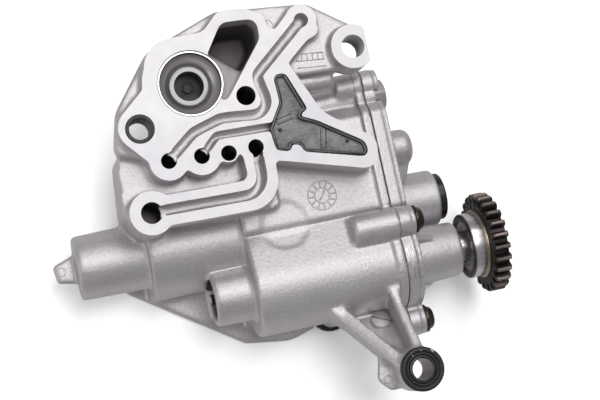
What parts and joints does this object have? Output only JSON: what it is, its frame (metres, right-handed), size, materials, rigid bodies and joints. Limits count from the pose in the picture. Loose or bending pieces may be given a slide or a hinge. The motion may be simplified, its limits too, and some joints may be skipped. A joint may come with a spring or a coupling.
{
  "type": "engine oil pump",
  "caption": "Gear oil pump with sliding gear unit, die-cast housing and cover, machined port face, geared drive shaft.",
  "frame": {"origin": "centre of the locating sleeve on the machined mounting face", "axes": "+X along the drive shaft to the drive gear, +Z out of the mounting face; the pump lies on its back, -Z"},
  "size_m": [0.1955, 0.1748, 0.0669],
  "materials": {
    "cast_alloy": "blasted die casting",
    "ground_steel": "ground",
    "hardened_steel": "hardened, oiled",
    "black_rubber": "moulded",
    "turned_steel": "turned",
    "bush_bronze": "bored",
    "grey_insert": "glass filled",
    "spring_wire": "drawn",
    "piston_alloy": "turned",
    "black_screw": "phosphated",
    "zinc_plug": "zinc plated",
    "black_cap": "satin",
    "black_sleeve": "phosphated"
  },
  "bodies": {
    "casing": {"pump_housing": "cast_alloy", "pump_cover": "cast_alloy", "cover_screws": "black_screw", "cover_dowels": "ground_steel", "rear_bush": "bush_bronze", "front_bush": "bush_bronze", "displacement_spring": "spring_wire", "end_cap": "black_cap", "valve_plug": "zinc_plug", "valve_washer": "zinc_plug", "control_spring": "spring_wire", "relief_spring": "spring_wire", "dowel_sleeve": "black_sleeve", "leg_bush": "ground_steel", "leg_ring": "black_rubber", "inlet_seal": "black_rubber", "port_seat": "turned_steel", "check_spring": "spring_wire", "insert_seal": "black_rubber", "insert_plate": "grey_insert"},
    "drive_line": {"drive_shaft": "ground_steel", "driving_pump_gear": "ground_steel", "gear_hub": "turned_steel", "drive_gear": "hardened_steel"},
    "slide_unit": {"slide_axle": "ground_steel", "rear_piston": "piston_alloy", "front_piston": "piston_alloy"},
    "driven_gear": {"driven_pump_gear": "ground_steel"},
    "control_valve": {"control_piston": "ground_steel"},
    "relief_valve": {"relief_piston": "ground_steel"},
    "port_valve": {"check_valve": "black_cap"}
  },
  "joints": [
    {"name": "drive_shaft_spin", "type": "hinge", "parent": "casing", "child": "drive_line", "pos_m": [0, -0.0737, -0.0335], "axis": [1, 0, 0], "continuous": true},
    {"name": "displacement_slide", "type": "slide", "parent": "casing", "child": "slide_unit", "axis": [-1, 0, 0], "range_m": [0, 0.014], "stiffness_N_per_m": 1500, "springref_m": -0.01, "deforming": ["displacement_spring"]},
    {"name": "driven_gear_spin", "type": "hinge", "parent": "slide_unit", "child": "driven_gear", "pos_m": [0.08, -0.04867, -0.0425], "axis": [1, 0, 0], "continuous": true},
    {"name": "control_piston_slide", "type": "slide", "parent": "casing", "child": "control_valve", "axis": [1, 0, 0], "range_m": [0, 0.005], "stiffness_N_per_m": 300, "springref_m": -0.004, "deforming": ["control_spring"]},
    {"name": "relief_piston_slide", "type": "slide", "parent": "casing", "child": "relief_valve", "axis": [1, 0, 0], "range_m": [0, 0.005], "stiffness_N_per_m": 300, "springref_m": -0.004, "deforming": ["relief_spring"]},
    {"name": "check_valve_slide", "type": "slide", "parent": "casing", "child": "port_valve", "axis": [0, 0, -1], "range_m": [0, 0.005], "stiffness_N_per_m": 200, "springref_m": -0.004, "deforming": ["check_spring"]}
  ],
  "couplings": [
    {"joint": "driven_gear_spin", "follows": "drive_shaft_spin", "ratio": -1}
  ]
}
